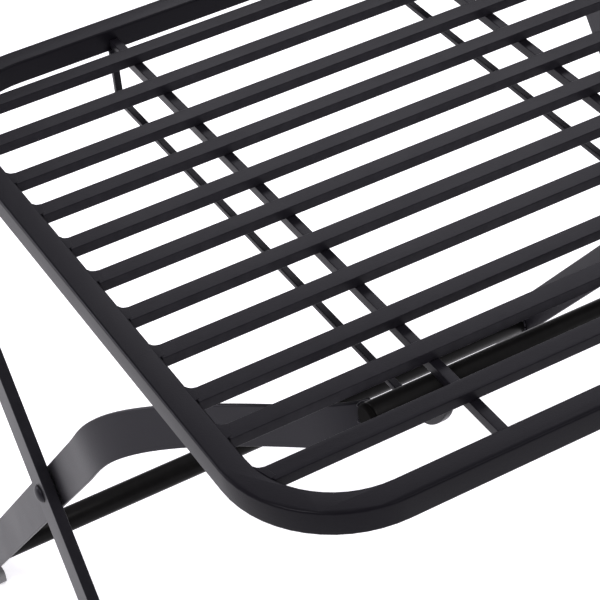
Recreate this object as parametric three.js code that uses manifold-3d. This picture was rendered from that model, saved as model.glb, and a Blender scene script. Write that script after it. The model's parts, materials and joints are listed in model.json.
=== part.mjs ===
// Folding side table: slatted steel top on two crossed pairs of flat-bar legs.
// Millimetres, +Z up, +X to the right, +Y to the back. The floor is z = 0.
import * as THREE from 'three';
import Module from 'manifold-3d';

const wasm = await Module();
wasm.setup();

// ---- Overall size -------------------------------------------------------------------------
const HEIGHT = 510;                 // floor to the top of the frame tube
const SHIFT_Y = -48.49;             // centres the whole table over the origin
const GAP = 0.3;                    // gap kept between pieces that touch

// ---- Top frame ----------------------------------------------------------------------------
const TUBE = 16;                    // square frame tube
const FRAME_HALF_X = 250;
const FRAME_HALF_Y = 252;
const FRAME_CORNER_R = 71;          // outer radius of the four bends
const TUBE_EDGE_R = 1.5;
const INNER_HALF_X = FRAME_HALF_X - TUBE;
const INNER_HALF_Y = FRAME_HALF_Y - TUBE;
const INNER_CORNER_R = FRAME_CORNER_R - TUBE;
const CORNER_STEPS = 14;

// ---- Slats and the rails under them -------------------------------------------------------
const SLAT_BACK_EDGES = [209.5, 167, 123, 84, 44, 5.5, -34.5, -74, -117, -152, -191.5];
const SLAT_W = 12;
const SLAT_T = 7;
const SLAT_TOP_Z = -0.2;
const SLAT_EDGE = 0.5;
const RAIL_X = 109;
const RAIL_W = 6.5;
const RAIL_T = 7;
const RAIL_TOP_Z = SLAT_TOP_Z - SLAT_T - GAP;
const RAIL_BOTTOM_Z = RAIL_TOP_Z - RAIL_T;

// ---- Guides that carry the sliding bar ----------------------------------------------------
const GUIDE_X = 112;
const GUIDE_W = 5;
const GUIDE_T = 4;
const GUIDE_Z = -53;                // centre of the level run
const HOOK_START_Y = -156;          // the level run ends here and sweeps up round the bar
const HOOK_LEAD_IN = 8.3;           // handle lengths of the hook's curve
const HOOK_LEAD_OUT = 8.8;
const HOOK_UPRIGHT_Y = -180.8;      // centre of the upright part in front of the bar
const HOOK_UPRIGHT_Z = -26;
const GUIDE_BACK_Y = 233.6;         // centre of the upright part at the back
const BACK_BEND_R = 8;

// ---- Sliding top bar of the inner frame ---------------------------------------------------
const SLIDE_BAR_Y = -168;
const SLIDE_BAR_Z = -25;
const SLIDE_BAR_R = 10;
const SLIDE_BAR_HALF = 152.7;
const SLIDE_CAP_T = 3;

// ---- Scissor rivet and top hinge (side view, y and z from the tabletop) -------------------
const RIVET = { y: 97.7, z: -234.5 };
const HINGE = { y: 248.5, z: -28.1 };
const PIN_R = 4;
const PIN_CLEARANCE = 0.08;
const DOME_R = 6.5;
const DOME_H = 3.4;

// ---- Outer legs: straight flat bar, just outside the tabletop -----------------------------
const OUTER_IN_X = 255;
const OUTER_T = 8;
const OUTER_W = 28;
const OUTER_EDGE = 0.9;

// ---- Inner legs: thinner flat bar, bent inwards near the top ------------------------------
const INNER_OUT_X = 254;
const INNER_T = 3;
const INNER_W = 28.3;
const INNER_EDGE = 0.5;
const INNER_SLOPE = 49.05 * Math.PI / 180;
const BEND_START_Z = -161.1;        // the straight part ends here
const BEND_LEAD_IN = 53.1;          // handle lengths of the bend
const BEND_LEAD_OUT = 199.5;
const BEND_END = new THREE.Vector3(-156.8, -156.8, -39.6);
const BEND_END_DIR = new THREE.Vector3(0.57, -1.02, 0.4).normalize();
const BEND_END_TILT = 86.7 * Math.PI / 180;
const BEND_USED = 0.93;             // share of the bend kept before the end turns along X
const TAB_END = new THREE.Vector3(-146, -158.85, -36);
const TAB_TILT = 83 * Math.PI / 180;
const TAB_HANDLE = 11;

// ---- Feet ---------------------------------------------------------------------------------
const FOOT_H = 12.7;
const FOOT_LENGTH = 47;
const FOOT_W = 8;
const FOOT_CORNER_R = 4;
const LEG_CUT_Z = -HEIGHT + FOOT_H + GAP;
const INNER_FOOT_BAR = { y: 294.7, z: -463.6, r: 10 };

// ---- Hinge brackets under the side bars ---------------------------------------------------
const BRACKET_T = 3;
const BRACKET_FRONT_Y = 150;
const BRACKET_TOP_Z = -TUBE - GAP;
const BRACKET_EYE_R = 10;
const BRACKET_NOSE_DROP = 6;

const ROUND_STEPS = 48;

const steel = { color: 0x2f3036, roughness: 0.42, metalness: 0.35 };
const barSteel = { color: 0x1c1c1f, roughness: 0.38, metalness: 0.35 };
const legSteel = { color: 0x55565c, roughness: 0.45, metalness: 0.35 };
const plastic = { color: 0x6b6b6e, roughness: 0.6, metalness: 0.0 };

const root = new THREE.Group();
const table = new THREE.Group();
table.position.set(0, SHIFT_Y, HEIGHT);
root.add(table);

function addMesh(name, geometry, look) {
  geometry.computeVertexNormals();
  const mesh = new THREE.Mesh(geometry, new THREE.MeshStandardMaterial(look));
  mesh.name = name;
  table.add(mesh);
  return mesh;
}

// Points of a rounded rectangle, counter-clockwise from above.
function roundedRect(halfX, halfY, radius) {
  const points = [];
  const corners = [[1, 1, 0], [-1, 1, 90], [-1, -1, 180], [1, -1, 270]];
  for (const [sx, sy, start] of corners) {
    for (let i = 0; i <= CORNER_STEPS; i += 1) {
      const a = (start + 90 * i / CORNER_STEPS) * Math.PI / 180;
      const cx = sx * (halfX - radius);
      const cy = sy * (halfY - radius);
      points.push(new THREE.Vector2(cx + radius * Math.cos(a), cy + radius * Math.sin(a)));
    }
  }
  return points;
}

// Points of a circle, clockwise, for a hole.
function circlePoints(y, z, radius) {
  const points = [];
  for (let i = 0; i < ROUND_STEPS; i += 1) {
    const a = -2 * Math.PI * i / ROUND_STEPS;
    points.push(new THREE.Vector2(y + radius * Math.cos(a), z + radius * Math.sin(a)));
  }
  return points;
}

// A plate with eased edges: the shape is its full outline, the plate fills 0..thickness.
function plate(shape, thickness, edge) {
  const geometry = new THREE.ExtrudeGeometry(shape, {
    depth: thickness - 2 * edge,
    bevelEnabled: true,
    bevelThickness: edge,
    bevelSize: edge,
    bevelOffset: -edge,
    bevelSegments: 2,
    curveSegments: 1,
  });
  geometry.translate(0, 0, edge);
  return geometry;
}

// Turns a plate drawn in (y, z) so that its thickness runs along +X from x0.
function standUp(geometry, x0) {
  const turn = new THREE.Matrix4().makeBasis(
    new THREE.Vector3(0, 1, 0),
    new THREE.Vector3(0, 0, 1),
    new THREE.Vector3(1, 0, 0),
  );
  geometry.applyMatrix4(turn);
  geometry.translate(x0, 0, 0);
  return geometry;
}

// The mirror image in X, with its faces turned outward again.
function mirrorX(source) {
  const geometry = source.index ? source.toNonIndexed() : source.clone();
  const p = geometry.getAttribute('position');
  for (let i = 0; i < p.count; i += 3) {
    const b = [p.getX(i + 1), p.getY(i + 1), p.getZ(i + 1)];
    const c = [p.getX(i + 2), p.getY(i + 2), p.getZ(i + 2)];
    p.setXYZ(i, -p.getX(i), p.getY(i), p.getZ(i));
    p.setXYZ(i + 1, -c[0], c[1], c[2]);
    p.setXYZ(i + 2, -b[0], b[1], b[2]);
  }
  return geometry;
}

function addPair(name, leftGeometry, look) {
  addMesh(`${name}_left`, leftGeometry, look);
  addMesh(`${name}_right`, mirrorX(leftGeometry), look);
}

// ---- Booleans -----------------------------------------------------------------------------
function mergePoints(geometry) {
  const flat = geometry.index ? geometry.toNonIndexed() : geometry;
  const p = flat.getAttribute('position');
  const seen = new Map();
  const vertices = [];
  const triangles = [];
  for (let i = 0; i < p.count; i += 1) {
    const key = [p.getX(i), p.getY(i), p.getZ(i)].map((v) => Math.round(v * 1e4)).join(',');
    if (!seen.has(key)) {
      seen.set(key, vertices.length / 3);
      vertices.push(p.getX(i), p.getY(i), p.getZ(i));
    }
    triangles.push(seen.get(key));
  }
  const kept = [];
  for (let i = 0; i < triangles.length; i += 3) {
    const [a, b, c] = triangles.slice(i, i + 3);
    if (a !== b && b !== c && a !== c) {
      kept.push(a, b, c);
    }
  }
  return { vertices, triangles: kept };
}

function toManifold(geometry) {
  const { vertices, triangles } = mergePoints(geometry);
  return new wasm.Manifold(new wasm.Mesh({
    numProp: 3,
    vertProperties: new Float32Array(vertices),
    triVerts: new Uint32Array(triangles),
  }));
}

function fromManifold(solid) {
  const mesh = solid.getMesh();
  const geometry = new THREE.BufferGeometry();
  const positions = new Float32Array(mesh.vertProperties);
  geometry.setAttribute('position', new THREE.BufferAttribute(positions, 3));
  geometry.setIndex(new THREE.BufferAttribute(new Uint32Array(mesh.triVerts), 1));
  return geometry.toNonIndexed();
}

// ---- Bars swept along a path --------------------------------------------------------------
// Each station has a centre, a width direction w and a thickness direction n.
function sweep(stations, width, thickness, edge) {
  const a = width / 2;
  const b = thickness / 2;
  const e = edge;
  const section = [
    [a - e, -b], [a, -b + e], [a, b - e], [a - e, b],
    [-a + e, b], [-a, b - e], [-a, -b + e], [-a + e, -b],
  ];
  const rings = stations.map(({ centre, w, n, cut }) => section.map(([u, v]) => {
    const point = centre.clone().addScaledVector(w, u).addScaledVector(n, v);
    if (cut) {
      point.addScaledVector(cut.along, (cut.z - point.z) / cut.along.z);
    }
    return point;
  }));
  const positions = [];
  const push = (...points) => points.forEach((q) => positions.push(q.x, q.y, q.z));
  const m = section.length;
  for (let i = 0; i + 1 < rings.length; i += 1) {
    for (let k = 0; k < m; k += 1) {
      const k2 = (k + 1) % m;
      push(rings[i][k], rings[i][k2], rings[i + 1][k2]);
      push(rings[i][k], rings[i + 1][k2], rings[i + 1][k]);
    }
  }
  const first = rings[0];
  const last = rings[rings.length - 1];
  for (let k = 1; k + 1 < m; k += 1) {
    push(first[0], first[k + 1], first[k]);
    push(last[0], last[k], last[k + 1]);
  }
  const geometry = new THREE.BufferGeometry();
  geometry.setAttribute('position', new THREE.Float32BufferAttribute(positions, 3));
  return geometry;
}

// ---- Top frame ----------------------------------------------------------------------------
const frameShape = new THREE.Shape(roundedRect(FRAME_HALF_X, FRAME_HALF_Y, FRAME_CORNER_R));
const frameHole = roundedRect(INNER_HALF_X, INNER_HALF_Y, INNER_CORNER_R).reverse();
frameShape.holes.push(new THREE.Path(frameHole));
const frameGeometry = plate(frameShape, TUBE, TUBE_EDGE_R);
frameGeometry.translate(0, 0, -TUBE);
addMesh('top_frame', frameGeometry, steel);

// Half length of a slat at depth y, so that its end follows the inside of the frame.
function slatReach(y) {
  const past = Math.abs(y) - (INNER_HALF_Y - INNER_CORNER_R);
  if (past <= 0) {
    return INNER_HALF_X - GAP;
  }
  const radius = INNER_CORNER_R - GAP;
  return INNER_HALF_X - INNER_CORNER_R + Math.sqrt(radius * radius - past * past);
}

SLAT_BACK_EDGES.forEach((backY, index) => {
  const steps = 4;
  const right = [];
  for (let i = 0; i <= steps; i += 1) {
    const y = backY - SLAT_W + SLAT_W * i / steps;
    right.push(new THREE.Vector2(slatReach(y), y));
  }
  const straight = slatReach(backY) === slatReach(backY - SLAT_W);
  const side = straight ? [right[0], right[steps]] : right;
  const left = side.map((q) => new THREE.Vector2(-q.x, q.y)).reverse();
  const geometry = plate(new THREE.Shape([...side, ...left]), SLAT_T, SLAT_EDGE);
  geometry.translate(0, 0, SLAT_TOP_Z - SLAT_T);
  addMesh(`slat_${String(index + 1).padStart(2, '0')}`, geometry, steel);
});

function bar(x0, x1, y0, y1, z0, z1) {
  const geometry = new THREE.BoxGeometry(x1 - x0, y1 - y0, z1 - z0);
  geometry.translate((x0 + x1) / 2, (y0 + y1) / 2, (z0 + z1) / 2);
  return geometry;
}

const railEnd = INNER_HALF_Y - GAP;
const rail = bar(
  -RAIL_X - RAIL_W / 2,
  -RAIL_X + RAIL_W / 2,
  -railEnd,
  railEnd,
  RAIL_BOTTOM_Z,
  RAIL_TOP_Z,
);
addPair('rail', rail, steel);

// ---- Guides: a level run with both ends turned up to the rail -----------------------------
function guideStations() {
  const path = [];
  const topZ = RAIL_BOTTOM_Z - GAP;
  const addPoint = (y, z, angle) => path.push({ y, z, angle });
  const hook = new THREE.CubicBezierCurve(
    new THREE.Vector2(HOOK_UPRIGHT_Y, HOOK_UPRIGHT_Z),
    new THREE.Vector2(HOOK_UPRIGHT_Y, HOOK_UPRIGHT_Z - HOOK_LEAD_OUT),
    new THREE.Vector2(HOOK_START_Y - HOOK_LEAD_IN, GUIDE_Z),
    new THREE.Vector2(HOOK_START_Y, GUIDE_Z),
  );
  addPoint(HOOK_UPRIGHT_Y, topZ, -90);
  const steps = 12;
  for (let i = 0; i <= steps; i += 1) {
    const at = hook.getPoint(i / steps);
    const along = hook.getTangent(i / steps);
    addPoint(at.x, at.y, Math.atan2(along.y, along.x) * 180 / Math.PI);
  }
  for (let i = 0; i <= steps; i += 1) {
    const turn = 270 + 90 * i / steps;
    const a = turn * Math.PI / 180;
    const cy = GUIDE_BACK_Y - BACK_BEND_R;
    const cz = GUIDE_Z + BACK_BEND_R;
    addPoint(cy + BACK_BEND_R * Math.cos(a), cz + BACK_BEND_R * Math.sin(a), turn - 270);
  }
  addPoint(GUIDE_BACK_Y, topZ, 90);
  return path.map(({ y, z, angle }) => {
    const a = angle * Math.PI / 180;
    return {
      centre: new THREE.Vector3(-GUIDE_X, y, z),
      w: new THREE.Vector3(-1, 0, 0),
      n: new THREE.Vector3(0, -Math.sin(a), Math.cos(a)),
    };
  });
}
const guideEdge = 0.4;
addPair('guide', sweep(guideStations(), GUIDE_W, GUIDE_T, guideEdge), steel);

// ---- Hinge brackets -----------------------------------------------------------------------
const bracketShape = new THREE.Shape();
bracketShape.moveTo(BRACKET_FRONT_Y, BRACKET_TOP_Z - BRACKET_NOSE_DROP);
bracketShape.lineTo(HINGE.y, HINGE.z - BRACKET_EYE_R);
for (let i = -8; i <= 8; i += 1) {
  const a = i * 90 / 8 * Math.PI / 180;
  bracketShape.lineTo(HINGE.y + BRACKET_EYE_R * Math.cos(a), HINGE.z + BRACKET_EYE_R * Math.sin(a));
}
bracketShape.lineTo(HINGE.y - BRACKET_EYE_R, BRACKET_TOP_Z);
bracketShape.lineTo(BRACKET_FRONT_Y, BRACKET_TOP_Z);
bracketShape.holes.push(new THREE.Path(circlePoints(HINGE.y, HINGE.z, PIN_R + PIN_CLEARANCE)));
const bracketEdge = 0.3;
const bracket = standUp(plate(bracketShape, BRACKET_T, bracketEdge), -FRAME_HALF_X);
addPair('hinge_bracket', bracket, steel);

// ---- Round bars and rivets, all turned on the X axis --------------------------------------
function roundX(profile, y, z) {
  const points = profile.map(([r, x]) => new THREE.Vector2(r, x));
  const geometry = new THREE.LatheGeometry(points, ROUND_STEPS);
  geometry.rotateZ(-Math.PI / 2);
  geometry.translate(0, y, z);
  return geometry;
}

function roundBar(x0, x1, radius, edge, y, z) {
  const profile = [
    [0, x0], [radius - edge, x0], [radius, x0 + edge],
    [radius, x1 - edge], [radius - edge, x1], [0, x1],
  ];
  return roundX(profile, y, z);
}

// A domed head from x0 outwards (towards -X), with a shank running inwards to x1.
function rivetProfile(headX, endX, headR, headH, shankR) {
  const profile = [];
  const steps = 8;
  for (let i = 0; i <= steps; i += 1) {
    const a = i / steps * Math.PI / 2;
    profile.push([headR * Math.sin(a), headX - headH * Math.cos(a)]);
  }
  profile.push([shankR, headX]);
  profile.push([shankR, endX]);
  profile.push([0, endX]);
  return profile;
}

const barEdge = 0.8;
const slideBar = roundBar(-SLIDE_BAR_HALF, SLIDE_BAR_HALF, SLIDE_BAR_R, barEdge, SLIDE_BAR_Y, SLIDE_BAR_Z);
addMesh('inner_top_bar', slideBar, barSteel);
const capProfile = [[0, -SLIDE_BAR_HALF - GAP - SLIDE_CAP_T]];
const capSteps = 5;
for (let i = 0; i <= capSteps; i += 1) {
  const a = i / capSteps * Math.PI / 2;
  const round = 2;
  capProfile.push([
    SLIDE_BAR_R - round + round * Math.sin(a),
    -SLIDE_BAR_HALF - GAP - SLIDE_CAP_T + round - round * Math.cos(a),
  ]);
}
capProfile.push([SLIDE_BAR_R, -SLIDE_BAR_HALF - GAP]);
capProfile.push([0, -SLIDE_BAR_HALF - GAP]);
addPair('top_bar_cap', roundX(capProfile, SLIDE_BAR_Y, SLIDE_BAR_Z), barSteel);

// ---- Outer legs ---------------------------------------------------------------------------
const outerSlope = Math.atan2(HINGE.z - RIVET.z, HINGE.y - RIVET.y);
const outerAlong = { y: Math.cos(outerSlope), z: Math.sin(outerSlope) };
const outerAcross = { y: -Math.sin(outerSlope), z: Math.cos(outerSlope) };
function outerLegShape() {
  const half = OUTER_W / 2;
  const shape = new THREE.Shape();
  const footPoint = (side) => {
    const y0 = HINGE.y + side * half * outerAcross.y;
    const z0 = HINGE.z + side * half * outerAcross.z;
    const run = (LEG_CUT_Z - z0) / outerAlong.z;
    return [y0 + run * outerAlong.y, LEG_CUT_Z];
  };
  shape.moveTo(...footPoint(1));
  shape.lineTo(...footPoint(-1));
  const steps = 16;
  for (let i = 0; i <= steps; i += 1) {
    const a = outerSlope - Math.PI / 2 + Math.PI * i / steps;
    shape.lineTo(HINGE.y + half * Math.cos(a), HINGE.z + half * Math.sin(a));
  }
  for (const hole of [RIVET, HINGE]) {
    shape.holes.push(new THREE.Path(circlePoints(hole.y, hole.z, PIN_R + PIN_CLEARANCE)));
  }
  return shape;
}
const outerLeg = standUp(plate(outerLegShape(), OUTER_T, OUTER_EDGE), -OUTER_IN_X - OUTER_T);
addPair('outer_leg', outerLeg, legSteel);

const headX = -OUTER_IN_X - OUTER_T - GAP;
const rivetEndX = -OUTER_IN_X + GAP;
const rivet = rivetProfile(headX, rivetEndX, DOME_R, DOME_H, PIN_R);
addPair('scissor_rivet', roundX(rivet, RIVET.y, RIVET.z), legSteel);
const pinEndX = -FRAME_HALF_X + BRACKET_T;
const hingePin = rivetProfile(headX, pinEndX, DOME_R, DOME_H, PIN_R);
addPair('hinge_pin', roundX(hingePin, HINGE.y, HINGE.z), legSteel);

// ---- Inner legs ---------------------------------------------------------------------------
const innerAlong = new THREE.Vector3(0, -Math.cos(INNER_SLOPE), Math.sin(INNER_SLOPE));
function innerLegPoint(z) {
  return new THREE.Vector3(-INNER_OUT_X, RIVET.y - (z - RIVET.z) / Math.tan(INNER_SLOPE), z);
}
function bezier(p0, p1, p2, p3, s) {
  const curve = new THREE.CubicBezierCurve3(p0, p1, p2, p3);
  return { at: curve.getPoint(s), along: curve.getTangent(s).normalize() };
}
function innerStation(at, along, tilt) {
  const w = new THREE.Vector3(0, Math.cos(tilt), Math.sin(tilt));
  w.addScaledVector(along, -w.dot(along)).normalize();
  const n = along.clone().cross(w).normalize();
  return { centre: at.clone().addScaledVector(n, -INNER_T / 2), w, n };
}
const smooth = (s) => 3 * s * s - 2 * s * s * s;
function innerLegStations() {
  const legTilt = Math.PI / 2 - INNER_SLOPE;
  const stations = [];
  const foot = innerStation(innerLegPoint(LEG_CUT_Z), innerAlong, legTilt);
  foot.cut = { z: LEG_CUT_Z, along: innerAlong };
  stations.push(foot);
  const start = innerLegPoint(BEND_START_Z);
  const lead = start.clone().addScaledVector(innerAlong, BEND_LEAD_IN);
  const out = BEND_END.clone().addScaledVector(BEND_END_DIR, -BEND_LEAD_OUT);
  const bendSteps = 30;
  let last = null;
  for (let i = 0; i <= bendSteps; i += 1) {
    const s = BEND_USED * i / bendSteps;
    last = bezier(start, lead, out, BEND_END, s);
    const tilt = legTilt + (BEND_END_TILT - legTilt) * smooth(s);
    stations.push(innerStation(last.at, last.along, tilt));
  }
  const q0 = last.at.clone();
  const q1 = q0.clone().addScaledVector(last.along, TAB_HANDLE);
  const q2 = TAB_END.clone().add(new THREE.Vector3(-TAB_HANDLE, 0, 0));
  const tabSteps = 10;
  const tiltFrom = legTilt + (BEND_END_TILT - legTilt) * smooth(BEND_USED);
  for (let i = 1; i <= tabSteps; i += 1) {
    const s = i / tabSteps;
    const point = bezier(q0, q1, q2, TAB_END, s);
    stations.push(innerStation(point.at, point.along, tiltFrom + (TAB_TILT - tiltFrom) * s));
  }
  return stations;
}
const innerBlank = toManifold(sweep(innerLegStations(), INNER_W, INNER_T, INNER_EDGE));
const drillR = PIN_R + PIN_CLEARANCE;
const drillX0 = -INNER_OUT_X - 5;
const drillX1 = -INNER_OUT_X + INNER_T + 5;
const drill = toManifold(roundBar(drillX0, drillX1, drillR, 0.5, RIVET.y, RIVET.z));
addPair('inner_leg', fromManifold(innerBlank.subtract(drill)), legSteel);

// Formed end of the scissor rivet, on the inside of the inner leg.
function tailProfile() {
  const faceX = -INNER_OUT_X + INNER_T + GAP;
  const height = 2.2;
  const steps = 6;
  const profile = [[0, -INNER_OUT_X], [PIN_R, -INNER_OUT_X], [PIN_R, faceX]];
  for (let i = 0; i <= steps; i += 1) {
    const a = i / steps * Math.PI / 2;
    profile.push([DOME_R * Math.cos(a), faceX + height * Math.sin(a)]);
  }
  return profile;
}
addPair('scissor_rivet_tail', roundX(tailProfile(), RIVET.y, RIVET.z), legSteel);

const footBarHalf = INNER_OUT_X - INNER_T - GAP;
const footBar = roundBar(
  -footBarHalf,
  footBarHalf,
  INNER_FOOT_BAR.r,
  barEdge,
  INNER_FOOT_BAR.y,
  INNER_FOOT_BAR.z,
);
addMesh('inner_foot_bar', footBar, barSteel);

// ---- Feet: plastic glides under the leg ends, flush with the legs -------------------------
function foot(centreY, outerX, width) {
  const half = FOOT_LENGTH / 2;
  const top = -HEIGHT + FOOT_H;
  const r = FOOT_CORNER_R;
  const shape = new THREE.Shape();
  const corners = [
    [centreY - half + r, -HEIGHT + r, 180, 270],
    [centreY + half - r, -HEIGHT + r, 270, 360],
    [centreY + half - r, top - r, 0, 90],
    [centreY - half + r, top - r, 90, 180],
  ];
  const steps = 5;
  let started = false;
  for (const [cy, cz, from, to] of corners) {
    for (let i = 0; i <= steps; i += 1) {
      const a = (from + (to - from) * i / steps) * Math.PI / 180;
      const y = cy + r * Math.cos(a);
      const z = cz + r * Math.sin(a);
      if (started) {
        shape.lineTo(y, z);
      } else {
        shape.moveTo(y, z);
        started = true;
      }
    }
  }
  const edge = 0.6;
  return standUp(plate(shape, width, edge), outerX);
}
const outerFootY = HINGE.y + (LEG_CUT_Z - HINGE.z) / outerAlong.z * outerAlong.y;
addPair('outer_foot', foot(outerFootY, -OUTER_IN_X - OUTER_T, OUTER_T), plastic);
const innerFootY = innerLegPoint(LEG_CUT_Z).y;
addPair('inner_foot', foot(innerFootY, -INNER_OUT_X, FOOT_W), plastic);

export default root;
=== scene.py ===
import json
import math
import random

import bpy
from mathutils import Matrix, Vector


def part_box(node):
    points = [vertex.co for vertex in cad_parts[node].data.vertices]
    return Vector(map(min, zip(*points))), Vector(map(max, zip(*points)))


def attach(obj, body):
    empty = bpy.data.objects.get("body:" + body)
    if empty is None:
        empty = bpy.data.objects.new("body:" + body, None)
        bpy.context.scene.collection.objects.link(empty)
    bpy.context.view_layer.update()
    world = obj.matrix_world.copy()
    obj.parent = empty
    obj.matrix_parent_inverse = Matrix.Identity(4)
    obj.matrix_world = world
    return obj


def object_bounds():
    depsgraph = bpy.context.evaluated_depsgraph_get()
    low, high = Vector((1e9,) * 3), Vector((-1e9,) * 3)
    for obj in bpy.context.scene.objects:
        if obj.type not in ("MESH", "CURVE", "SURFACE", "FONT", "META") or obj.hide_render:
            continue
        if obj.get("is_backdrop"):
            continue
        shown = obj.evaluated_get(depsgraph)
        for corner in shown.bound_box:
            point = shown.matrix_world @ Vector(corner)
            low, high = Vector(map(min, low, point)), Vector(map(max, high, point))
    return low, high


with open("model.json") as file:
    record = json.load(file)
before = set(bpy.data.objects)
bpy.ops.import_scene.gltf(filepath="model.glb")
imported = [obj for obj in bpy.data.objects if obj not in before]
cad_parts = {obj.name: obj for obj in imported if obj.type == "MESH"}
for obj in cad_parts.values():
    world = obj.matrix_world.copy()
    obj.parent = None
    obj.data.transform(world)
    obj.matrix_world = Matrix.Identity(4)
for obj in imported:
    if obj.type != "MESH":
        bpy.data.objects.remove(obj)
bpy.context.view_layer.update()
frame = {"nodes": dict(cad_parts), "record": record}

# ---- Sizes in metres, in the CAD frame ---------------------------------------------------
MM = 0.001
TOP_Z = 0.510                 # top of the frame tube
SHIFT_Y = -0.04849            # tabletop centre in the CAD frame
FRAME_IN_X = 0.234            # inside faces of the frame, from the tabletop centre
FRAME_IN_Y = 0.236
INNER_CORNER_R = 0.055        # inside radius of the frame's bends
SLATS = 11
RAIL_X = 0.109                # centre lines of the rails, guides and bracket welds
GUIDE_X = 0.112
BRACKET_WELD_X = 0.2465
BAR_WELD_X = (0.1475, 0.1555)  # ends of the welds between top bar and inner leg
SIDES = (("left", -1), ("right", 1))

WELD_MERGE = 0.00001
BEVEL_SEGMENTS = 2
BEVEL_ANGLE = math.radians(40)
SPLIT_ANGLE = math.radians(50)

# ---- Materials ---------------------------------------------------------------------------
TINT_RANGE = (0.82, 1.25)     # darkest and lightest patch of a coat, times its base colour
GLOSS_RANGE = (-0.05, 0.07)   # change in roughness between patches
RUBBED_AND_HIGHLIGHT_GAIN = 2.6             # edges, partly rubbed and partly a painted highlight: base colour times this, plus the lift below
RUBBED_AND_HIGHLIGHT_LIFT = 0.01
EDGE_RANGE = (0.53, 0.62)     # pointiness at which an edge starts to lighten and is fully lightened, as rubbed wear and painted highlight
CLOUD_SCALE = 18.0
SCRATCH_SCALE = 140.0
PEEL_STRENGTH = 0.12
PEEL_DEPTH = 0.0004


def coat(name, base, roughness, grain, wear_and_highlight_strength, ior, sheen):
    """Powder coat: fine orange peel, faint patches, and lighter edges that are partly
    scuffing and partly a painted highlight.
    """
    material = bpy.data.materials.new(name)
    material.use_nodes = True
    nodes = material.node_tree.nodes
    links = material.node_tree.links
    shader = nodes["Principled BSDF"]
    place = nodes.new("ShaderNodeTexCoord")

    def noise(scale, detail):
        node = nodes.new("ShaderNodeTexNoise")
        node.inputs["Scale"].default_value = scale
        node.inputs["Detail"].default_value = detail
        links.new(place.outputs["Object"], node.inputs["Vector"])
        return node

    cloud = noise(CLOUD_SCALE, 5.0)
    tint = nodes.new("ShaderNodeMixRGB")
    tint.inputs[1].default_value = (*[c * TINT_RANGE[0] for c in base], 1)
    tint.inputs[2].default_value = (*[c * TINT_RANGE[1] for c in base], 1)
    links.new(cloud.outputs["Fac"], tint.inputs[0])

    # Convex edges get a lighter colour: partly rubbed wear, partly a painted highlight along
    # the edges.
    edge = nodes.new("ShaderNodeNewGeometry")
    rim = nodes.new("ShaderNodeMapRange")
    rim.inputs["From Min"].default_value = EDGE_RANGE[0]
    rim.inputs["From Max"].default_value = EDGE_RANGE[1]
    links.new(edge.outputs["Pointiness"], rim.inputs["Value"])
    scratch = noise(SCRATCH_SCALE, 6.0)
    rubbed_and_highlit_edges = nodes.new("ShaderNodeMath")
    rubbed_and_highlit_edges.operation = "MULTIPLY"
    links.new(rim.outputs["Result"], rubbed_and_highlit_edges.inputs[0])
    links.new(scratch.outputs["Fac"], rubbed_and_highlit_edges.inputs[1])
    wear_and_highlight_mask = nodes.new("ShaderNodeMath")
    wear_and_highlight_mask.operation = "MULTIPLY"
    wear_and_highlight_mask.inputs[1].default_value = wear_and_highlight_strength
    links.new(rubbed_and_highlit_edges.outputs[0], wear_and_highlight_mask.inputs[0])
    rubbed_and_highlit_colour = nodes.new("ShaderNodeMixRGB")
    rubbed_and_highlit_colour.inputs[2].default_value = (*[c * RUBBED_AND_HIGHLIGHT_GAIN + RUBBED_AND_HIGHLIGHT_LIFT for c in base], 1)
    links.new(wear_and_highlight_mask.outputs[0], rubbed_and_highlit_colour.inputs[0])
    links.new(tint.outputs[0], rubbed_and_highlit_colour.inputs[1])
    links.new(rubbed_and_highlit_colour.outputs[0], shader.inputs["Base Color"])

    gloss = nodes.new("ShaderNodeMapRange")
    gloss.inputs["To Min"].default_value = roughness + GLOSS_RANGE[0]
    gloss.inputs["To Max"].default_value = roughness + GLOSS_RANGE[1]
    links.new(cloud.outputs["Fac"], gloss.inputs["Value"])
    links.new(gloss.outputs["Result"], shader.inputs["Roughness"])

    peel = noise(grain, 3.0)
    bump = nodes.new("ShaderNodeBump")
    bump.inputs["Strength"].default_value = PEEL_STRENGTH
    bump.inputs["Distance"].default_value = PEEL_DEPTH
    links.new(peel.outputs["Fac"], bump.inputs["Height"])
    links.new(bump.outputs["Normal"], shader.inputs["Normal"])

    shader.inputs["IOR"].default_value = ior
    shader.inputs["Specular Tint"].default_value = (*sheen, 1)
    return material


BLACK = (0.0030, 0.0028, 0.0028)
PLAIN_SHEEN = (1.0, 1.0, 1.0)
# base colour, roughness, grain of the orange peel, edge wear and painted edge highlight, IOR,
# tint of the sheen
COATS = {
    "table_steel": ((0.0050, 0.0045, 0.0064), 0.32, 900.0, 0.8, 1.16, (0.93, 0.93, 1.0)),
    "bar_steel": (BLACK, 0.32, 1100.0, 0.5, 1.15, PLAIN_SHEEN),
    "bar_end": (BLACK, 0.60, 1100.0, 0.3, 1.08, PLAIN_SHEEN),
    "leg_steel": ((0.0062, 0.0058, 0.0074), 0.42, 900.0, 0.8, 1.27, (0.87, 0.85, 1.0)),
    "foot_plastic": ((0.150, 0.150, 0.155), 0.55, 1500.0, 0.2, 1.45, PLAIN_SHEEN),
}
looks = {name: coat(name, *values) for name, values in COATS.items()}
slot_of = {entry["node"]: entry["material_slot"] for entry in frame["record"]["subparts"]}


# ---- CAD nodes: eased edges, smooth bends ------------------------------------------------
def add_bevel(obj, width):
    bevel = obj.modifiers.new("bevel", "BEVEL")
    bevel.width = width
    bevel.segments = BEVEL_SEGMENTS
    bevel.limit_method = "ANGLE"
    bevel.angle_limit = BEVEL_ANGLE


def add_weighted_normals(obj):
    even = obj.modifiers.new("even", "WEIGHTED_NORMAL")
    even.weight = 100
    even.keep_sharp = False


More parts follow.
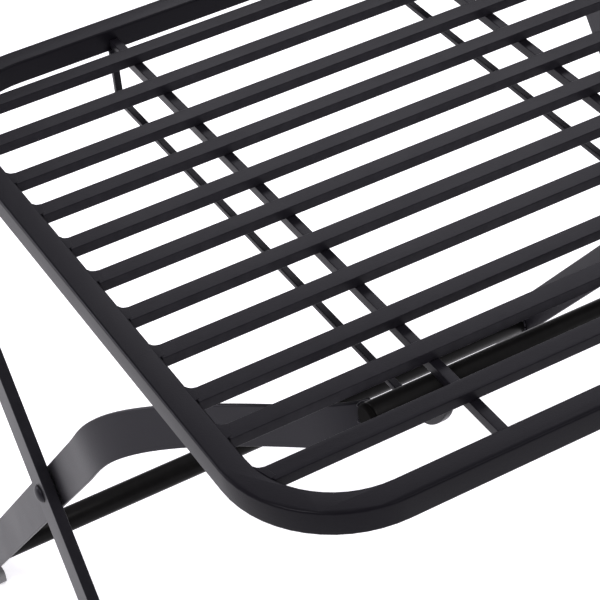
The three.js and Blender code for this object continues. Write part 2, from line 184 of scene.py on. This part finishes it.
BEVELS = {
    "rail": 0.0005,
    "guide": 0.0003,
    "inner_leg": 0.00025,
}
ROUND_WORDS = ("rivet", "pin", "bar")

for name, obj in frame["nodes"].items():
    look = looks["bar_end" if name.startswith("top_bar_cap") else slot_of[name]]
    obj.data.materials.clear()
    obj.data.materials.append(look)
    if "custom_normal" in obj.data.attributes:
        obj.data.attributes.remove(obj.data.attributes["custom_normal"])
    obj.data.polygons.foreach_set("use_smooth", [True] * len(obj.data.polygons))
    weld = obj.modifiers.new("weld", "WELD")
    weld.merge_threshold = WELD_MERGE
    for start, width in BEVELS.items():
        if name.startswith(start):
            add_bevel(obj, width)
    if any(word in name for word in ROUND_WORDS):
        split = obj.modifiers.new("split", "EDGE_SPLIT")
        split.split_angle = SPLIT_ANGLE
    else:
        add_weighted_normals(obj)

# ---- Weld beads --------------------------------------------------------------------------
rng = random.Random(7)
BEAD_AROUND = 12              # points round a bead
END_START = 0.06              # how far the rounding of a bead's ends starts from its tip
END_SPAN = 0.88
END_POWER = 0.45
RIPPLE = 0.10
RIPPLE_STEP = 2.4
RIPPLE_NOISE = 0.06


def add_piece(name, verts, faces, slot):
    mesh = bpy.data.meshes.new(name)
    mesh.from_pydata(verts, [], faces)
    mesh.polygons.foreach_set("use_smooth", [True] * len(mesh.polygons))
    mesh.materials.append(looks[slot])
    obj = bpy.data.objects.new(name, mesh)
    bpy.context.scene.collection.objects.link(obj)
    return obj


def bead(name, points, radius, body, slot="table_steel"):
    """A hand-laid weld: overlapping ripples along a short line."""
    verts = []
    faces = []
    steps = max(6, 3 * len(points))
    line = []
    for i in range(steps + 1):
        s = i / steps * (len(points) - 1)
        k = min(int(s), len(points) - 2)
        line.append(Vector(points[k]).lerp(Vector(points[k + 1]), s - k))
    along = (line[-1] - line[0]).normalized()
    side = along.orthogonal().normalized()
    up = along.cross(side)
    for i, centre in enumerate(line):
        reach = min(1.0, max(0.0, END_START + END_SPAN * i / steps))
        swell = math.sin(math.pi * reach) ** END_POWER
        ripple = RIPPLE * math.sin(i * RIPPLE_STEP) + rng.uniform(-RIPPLE_NOISE, RIPPLE_NOISE)
        r = radius * swell * (1 + ripple)
        for k in range(BEAD_AROUND):
            a = 2 * math.pi * k / BEAD_AROUND
            verts.append(centre + side * (r * math.cos(a)) + up * (r * math.sin(a)))
    for i in range(steps):
        for k in range(BEAD_AROUND):
            a = i * BEAD_AROUND + k
            b = i * BEAD_AROUND + (k + 1) % BEAD_AROUND
            faces.append((a, b, b + BEAD_AROUND, a + BEAD_AROUND))
    faces.append(tuple(reversed(range(BEAD_AROUND))))
    faces.append(tuple(steps * BEAD_AROUND + k for k in range(BEAD_AROUND)))
    obj = add_piece(name, [tuple(v) for v in verts], faces, slot)
    smooth = obj.modifiers.new("round", "SUBSURF")
    smooth.levels = 1
    smooth.render_levels = 2
    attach(obj, body)


def solid(name, outline, low_z, high_z, body, slot, soften):
    """An upright prism over a plan outline, its edges eased."""
    count = len(outline)
    verts = [(x, y, low_z) for x, y in outline] + [(x, y, high_z) for x, y in outline]
    faces = [tuple(reversed(range(count))), tuple(range(count, 2 * count))]
    for k in range(count):
        k2 = (k + 1) % count
        faces.append((k, k2, count + k2, count + k))
    obj = add_piece(name, verts, faces, slot)
    add_bevel(obj, soften)
    add_weighted_normals(obj)
    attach(obj, body)


PAD_OVERLAP = 1.3 * MM        # how far a pad at a slat's end runs into the frame tube
PAD_DEPTH = 5.6 * MM
PAD_EDGE = 0.35 * MM
PAD_FILLET_STEPS = 5


def slat_weld(name, sign, reach_back, reach_front, back_y, front_y, top_z):
    """A ground-flush weld across a slat's end, spread into the corner behind it."""
    spread = rng.uniform(3.0, 4.2) * MM
    run = rng.uniform(3.2, 5.0) * MM
    notch = rng.uniform(1.2, 2.2) * MM
    outline = [
        (reach_front + PAD_OVERLAP, front_y + notch),
        (reach_front - 2.2 * MM, front_y + notch + 0.6 * MM),
        (reach_back - run, back_y - 2.0 * MM),
        (reach_back - run, back_y - 0.2 * MM),
    ]
    for i in range(1, PAD_FILLET_STEPS + 1):
        a = i / PAD_FILLET_STEPS * math.pi / 2
        x = reach_back - run + run * math.sin(a)
        y = back_y + spread * (1 - math.cos(a))
        outline.append((x + (0.25 * MM if i == PAD_FILLET_STEPS else 0), y))
    outline.append((reach_back + PAD_OVERLAP, back_y + spread))
    outline = [(sign * x, y) for x, y in outline]
    if sign < 0:
        outline.reverse()
    solid(name, outline, top_z - PAD_DEPTH, top_z, "tabletop", "table_steel", PAD_EDGE)


def frame_edge(y):
    """Inside face of the frame at depth y from the tabletop centre."""
    past = abs(y) - (FRAME_IN_Y - INNER_CORNER_R)
    if past <= 0:
        return FRAME_IN_X
    return FRAME_IN_X - INNER_CORNER_R + math.sqrt(INNER_CORNER_R ** 2 - past ** 2)


RAIL_WELD_OFFSET = 3.4 * MM   # from the rail's centre line to the bead on each side
RAIL_WELD_R = 0.9 * MM

for number in range(1, SLATS + 1):
    low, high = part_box(f"slat_{number:02d}")
    for side, sign in SIDES:
        slat_weld(
            f"slat_weld_{number:02d}_{side}",
            sign,
            frame_edge(high.y - SHIFT_Y + 3 * MM),
            frame_edge(low.y - SHIFT_Y),
            high.y,
            low.y,
            TOP_Z - 0.06 * MM,
        )
    for side, sign in SIDES:
        for edge_side, dx in (("a", -RAIL_WELD_OFFSET), ("b", RAIL_WELD_OFFSET)):
            x = sign * RAIL_X + dx
            start = (x, low.y + 3 * MM, low.z - 0.2 * MM)
            end = (x, high.y - 3 * MM, low.z - 0.2 * MM)
            name = f"rail_weld_{number:02d}_{side}_{edge_side}"
            bead(name, [start, end], RAIL_WELD_R, "tabletop")

low_g, high_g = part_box("guide_left")
for side, sign in SIDES:
    x = sign * GUIDE_X
    for end_name, y in (("front", low_g.y + 2 * MM), ("back", high_g.y - 2 * MM)):
        start = (x - 2.5 * MM, y, high_g.z)
        end = (x + 2.5 * MM, y, high_g.z)
        bead(f"guide_weld_{side}_{end_name}", [start, end], 1.9 * MM, "tabletop")

low_b, high_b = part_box("inner_top_bar")
bar_back = high_b.y + 0.4 * MM
bar_z = (low_b.z + high_b.z) / 2
# name, radius, then y and z of the bead's two ends from the bar's back and its centre
BAR_WELDS = (
    ("upper", 1.7 * MM, (-0.8 * MM, 3.9 * MM), (-0.4 * MM, 3.6 * MM)),
    ("lower", 2.0 * MM, (-0.2 * MM, -8.0 * MM), (0.3 * MM, -8.3 * MM)),
)
for side, sign in SIDES:
    for level, radius, first, last in BAR_WELDS:
        points = [
            (sign * x, bar_back + dy, bar_z + dz)
            for x, (dy, dz) in zip(BAR_WELD_X, (first, last))
        ]
        bead(f"bar_weld_{side}_{level}", points, radius, "inner_frame", slot="leg_steel")

low_f, high_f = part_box("inner_foot_bar")
foot_y = (low_f.y + high_f.y) / 2
foot_z = (low_f.z + high_f.z) / 2
foot_r = (high_f.z - low_f.z) / 2 + 0.2 * MM
FOOT_BAR_BEADS = 6            # arcs round each end, with small breaks between them
ARC_BREAK = 4
ARC_POINTS = 4
for side, x in (("left", low_f.x + 0.6 * MM), ("right", high_f.x - 0.6 * MM)):
    for part in range(FOOT_BAR_BEADS):
        turn = 360 / FOOT_BAR_BEADS
        a0 = math.radians(part * turn + ARC_BREAK)
        a1 = math.radians((part + 1) * turn - ARC_BREAK)
        points = []
        for k in range(ARC_POINTS):
            a = a0 + (a1 - a0) * k / (ARC_POINTS - 1)
            points.append((x, foot_y + foot_r * math.cos(a), foot_z + foot_r * math.sin(a)))
        name = f"foot_bar_weld_{side}_{part}"
        bead(name, points, 1.3 * MM, "inner_frame", slot="leg_steel")

BRACKET_PITCH = 14 * MM
BRACKET_BEAD = 9 * MM
for side, sign in SIDES:
    low_h, high_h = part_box(f"hinge_bracket_{side}")
    x = sign * BRACKET_WELD_X
    for part in range(3):
        y0 = low_h.y + 3 * MM + part * BRACKET_PITCH
        points = [(x, y0, high_h.z), (x, y0 + BRACKET_BEAD, high_h.z)]
        bead(f"bracket_weld_{side}_{part}", points, 1.4 * MM, "tabletop")

# ---- Floor, light and camera -------------------------------------------------------------
FLOOR_HALF = 12.0
FLOOR_DROP = 0.0005           # keeps the feet clear of the floor
LIGHT_TINT = (0.96, 0.94, 1.0, 1)
WORLD_STRENGTH = 0.35

floor_mesh = bpy.data.meshes.new("floor")
corners = [(-1, -1), (1, -1), (1, 1), (-1, 1)]
floor_mesh.from_pydata(
    [(x * FLOOR_HALF, y * FLOOR_HALF, 0) for x, y in corners], [], [(0, 1, 2, 3)]
)
floor = bpy.data.objects.new("floor", floor_mesh)
floor.location.z = -FLOOR_DROP
bpy.context.scene.collection.objects.link(floor)
pale = bpy.data.materials.new("floor_pale")
pale.use_nodes = True
pale_shader = pale.node_tree.nodes["Principled BSDF"]
pale_shader.inputs["Base Color"].default_value = (0.92, 0.92, 0.93, 1)
pale_shader.inputs["Roughness"].default_value = 0.9
pale_shader.inputs["Specular IOR Level"].default_value = 0.1
pale_shader.inputs["Emission Color"].default_value = (0.985, 0.965, 1.0, 1)
pale_shader.inputs["Emission Strength"].default_value = 0.5
floor_mesh.materials.append(pale)
floor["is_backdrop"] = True

world = bpy.data.worlds.new("studio")
world.use_nodes = True
world.node_tree.nodes["Background"].inputs[0].default_value = LIGHT_TINT
world.node_tree.nodes["Background"].inputs[1].default_value = WORLD_STRENGTH
bpy.context.scene.world = world
bpy.context.scene.view_settings.view_transform = "Standard"

LAMP_AIM = (0, 0, 0.4)


def lamp(name, place, size, power, colour=(1, 1, 1)):
    data = bpy.data.lights.new(name, "AREA")
    data.shape = "RECTANGLE"
    data.size = size[0]
    data.size_y = size[1]
    data.energy = power
    data.color = colour
    obj = bpy.data.objects.new(name, data)
    obj.location = place
    direction = Vector(LAMP_AIM) - Vector(place)
    obj.rotation_euler = direction.to_track_quat("-Z", "Y").to_euler()
    bpy.context.scene.collection.objects.link(obj)
    obj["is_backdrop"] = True


lamp("overhead", (0.2, 0.3, 3.2), (3.0, 3.0), 20)
lamp("left_wall", (-2.0, 2.1, 1.45), (1.0, 0.7), 45, (0.96, 0.93, 1.0))
lamp("left_high", (-1.9, -0.8, 2.7), (0.9, 0.9), 34, (1.0, 0.97, 0.97))
lamp("front_right", (1.1, -2.0, 2.6), (1.2, 0.5), 20)
lamp("back_wall", (1.05, 1.68, 1.98), (1.4, 0.6), 15, (0.96, 0.94, 1.0))

SENSOR_MM = 36.0
LENS_MM = 129.672
CAMERA_FROM_TABLE = Vector((-0.5605, -0.9260, 0.755))   # from the tabletop's centre
CAMERA_RIGHT = Vector((0.8665, -0.4935, -0.0754))
CAMERA_FORWARD = Vector((0.3433, 0.6988, -0.6276))

camera_data = bpy.data.cameras.new("camera")
camera_data.sensor_width = SENSOR_MM
camera_data.lens = LENS_MM
camera = bpy.data.objects.new("camera", camera_data)
forward = CAMERA_FORWARD.normalized()
right = (CAMERA_RIGHT - forward * CAMERA_RIGHT.dot(forward)).normalized()
up = right.cross(forward)
turn_camera = Matrix((right, up, -forward)).transposed().to_4x4()
table_centre = Vector((0, SHIFT_Y, TOP_Z))
camera.matrix_world = Matrix.Translation(table_centre + CAMERA_FROM_TABLE) @ turn_camera
bpy.context.scene.collection.objects.link(camera)
bpy.context.scene.camera = camera

low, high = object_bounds()
